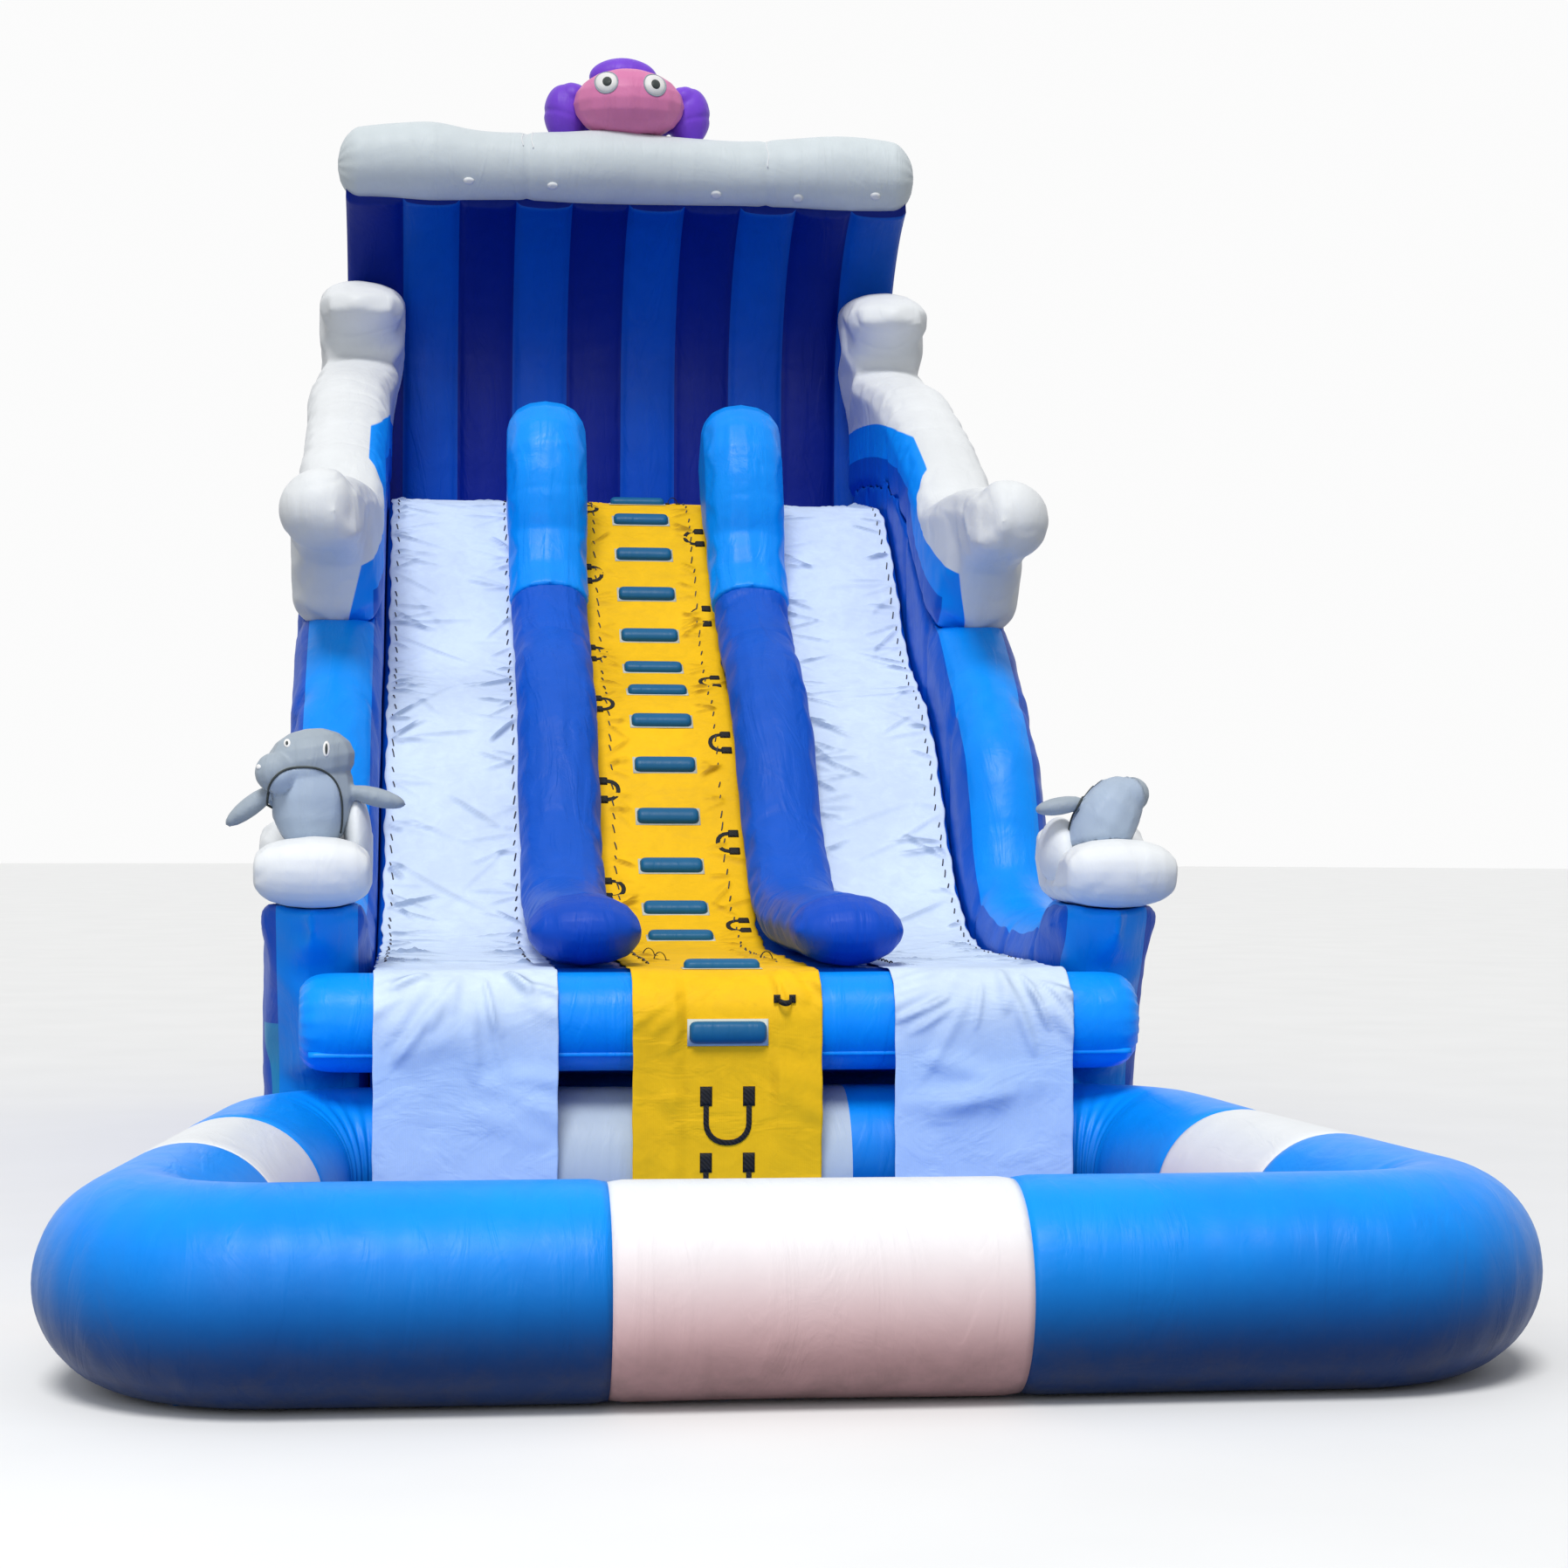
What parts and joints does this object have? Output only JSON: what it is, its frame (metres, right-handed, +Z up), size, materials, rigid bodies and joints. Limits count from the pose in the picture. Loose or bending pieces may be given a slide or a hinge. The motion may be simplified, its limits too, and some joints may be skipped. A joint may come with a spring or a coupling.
{
  "type": "inflatable water slide",
  "caption": "Inflatable wave-shaped water slide: sliding lanes beside a central climbing ladder, foam-topped side walls, tall striped back wall and a splash pool in front.",
  "frame": {"origin": "on the ground, under the middle of the whole slide's length and width", "axes": "+Z up; +Y from the pool towards the back wall; +X to the right of someone who faces the slide from the pool"},
  "size_m": [6.1344, 13.8002, 8.1517],
  "materials": {
    "bright_blue": "semi-gloss coated fabric",
    "deep_blue": "semi-gloss coated fabric",
    "divider_blue": "semi-gloss coated fabric",
    "foam_white": "semi-gloss coated fabric",
    "grey": "semi-gloss coated fabric",
    "pink": "semi-gloss coated fabric",
    "pool_floor": "semi-gloss coated fabric",
    "purple": "semi-gloss coated fabric",
    "rung_blue": "matte, padded",
    "sheet_white": "semi-gloss coated fabric",
    "wall_blue": "semi-gloss coated fabric",
    "webbing_black": "woven webbing",
    "yellow": "semi-gloss coated fabric"
  },
  "bodies": {
    "slide": {"back_wall": "wall_blue", "crest_roll": "foam_white", "divider_foot_left": "divider_blue", "divider_foot_right": "divider_blue", "divider_head_left": "bright_blue", "divider_head_right": "bright_blue", "divider_left": "divider_blue", "divider_right": "divider_blue", "dolphin_left": "grey", "dolphin_right": "grey", "foam_cap_left": "foam_white", "foam_cap_right": "foam_white", "inflation_sleeve": "webbing_black", "ladder_cover": "yellow", "landing_roll": "bright_blue", "lane_cover_left": "sheet_white", "lane_cover_right": "sheet_white", "octopus_arms": "purple", "octopus_head": "pink", "pool_corner_left": "bright_blue", "pool_corner_right": "bright_blue", "pool_floor": "pool_floor", "pool_front_white": "foam_white", "pool_rear_tube": "bright_blue", "pool_side_white_left": "foam_white", "pool_side_white_right": "foam_white", "rung_01": "rung_blue", "rung_02": "rung_blue", "rung_03": "rung_blue", "rung_04": "rung_blue", "rung_05": "rung_blue", "rung_06": "rung_blue", "rung_07": "rung_blue", "rung_08": "rung_blue", "rung_09": "rung_blue", "rung_10": "rung_blue", "rung_11": "rung_blue", "rung_12": "rung_blue", "rung_13": "rung_blue", "rung_14": "rung_blue", "rung_15": "rung_blue", "side_wall_left": "deep_blue", "side_wall_right": "deep_blue", "slide_base": "deep_blue", "wave_foam_left": "foam_white", "wave_foam_right": "foam_white"},
    "ladder_loop_01": {"ladder_loop_01": "webbing_black"},
    "ladder_loop_02": {"ladder_loop_02": "webbing_black"},
    "ladder_loop_03": {"ladder_loop_03": "webbing_black"},
    "ladder_loop_04": {"ladder_loop_04": "webbing_black"},
    "ladder_loop_05": {"ladder_loop_05": "webbing_black"},
    "ladder_loop_06": {"ladder_loop_06": "webbing_black"},
    "ladder_loop_07": {"ladder_loop_07": "webbing_black"},
    "ladder_loop_08": {"ladder_loop_08": "webbing_black"},
    "ladder_loop_09": {"ladder_loop_09": "webbing_black"},
    "ladder_loop_10": {"ladder_loop_10": "webbing_black"},
    "ladder_loop_11": {"ladder_loop_11": "webbing_black"},
    "ladder_loop_12": {"ladder_loop_12": "webbing_black"},
    "u_handle_1": {"u_handle_1": "webbing_black"},
    "u_handle_2": {"u_handle_2": "webbing_black"}
  },
  "joints": [
    {"name": "ladder_loop_01_swing", "type": "hinge", "parent": "slide", "child": "ladder_loop_01", "pos_m": [0.385, 0.21638, 1.60786], "axis": [0, 0.9254, 0.379], "range_deg": [0, 90]},
    {"name": "ladder_loop_02_swing", "type": "hinge", "parent": "slide", "child": "ladder_loop_02", "pos_m": [-0.385, 0.57838, 1.82621], "axis": [0, -0.7849, -0.6196], "range_deg": [0, 90]},
    {"name": "ladder_loop_03_swing", "type": "hinge", "parent": "slide", "child": "ladder_loop_03", "pos_m": [0.385, 0.88753, 2.11649], "axis": [0, 0.6692, 0.7431], "range_deg": [0, 90]},
    {"name": "ladder_loop_04_swing", "type": "hinge", "parent": "slide", "child": "ladder_loop_04", "pos_m": [-0.385, 1.15198, 2.44868], "axis": [0, -0.6083, -0.7937], "range_deg": [0, 90]},
    {"name": "ladder_loop_05_swing", "type": "hinge", "parent": "slide", "child": "ladder_loop_05", "pos_m": [0.385, 1.43234, 2.7675], "axis": [0, 0.7221, 0.6918], "range_deg": [0, 90]},
    {"name": "ladder_loop_06_swing", "type": "hinge", "parent": "slide", "child": "ladder_loop_06", "pos_m": [-0.385, 1.76549, 3.03036], "axis": [0, -0.8647, -0.5023], "range_deg": [0, 90]},
    {"name": "ladder_loop_07_swing", "type": "hinge", "parent": "slide", "child": "ladder_loop_07", "pos_m": [0.385, 2.15476, 3.19989], "axis": [0, 0.9133, 0.4072], "range_deg": [0, 90]},
    {"name": "ladder_loop_08_swing", "type": "hinge", "parent": "slide", "child": "ladder_loop_08", "pos_m": [-0.385, 2.52386, 3.40838], "axis": [0, -0.8188, -0.5741], "range_deg": [0, 90]},
    {"name": "ladder_loop_09_swing", "type": "hinge", "parent": "slide", "child": "ladder_loop_09", "pos_m": [0.385, 2.83613, 3.69399], "axis": [0, 0.6627, 0.7489], "range_deg": [0, 90]},
    {"name": "ladder_loop_10_swing", "type": "hinge", "parent": "slide", "child": "ladder_loop_10", "pos_m": [-0.385, 3.12282, 4.00764], "axis": [0, -0.6993, -0.7148], "range_deg": [0, 90]},
    {"name": "ladder_loop_11_swing", "type": "hinge", "parent": "slide", "child": "ladder_loop_11", "pos_m": [0.385, 3.42782, 4.30344], "axis": [0, 0.7507, 0.6606], "range_deg": [0, 90]},
    {"name": "ladder_loop_12_swing", "type": "hinge", "parent": "slide", "child": "ladder_loop_12", "pos_m": [-0.385, 3.77775, 4.54127], "axis": [0, -0.9175, -0.3977], "range_deg": [0, 90]},
    {"name": "u_handle_1_swing", "type": "hinge", "parent": "slide", "child": "u_handle_1", "pos_m": [0, -2.86345, 0.8085], "axis": [-1, 0, 0], "range_deg": [0, 135]},
    {"name": "u_handle_2_swing", "type": "hinge", "parent": "slide", "child": "u_handle_2", "pos_m": [0, -2.86345, 0.4704], "axis": [-1, 0, 0], "range_deg": [0, 135]}
  ]
}
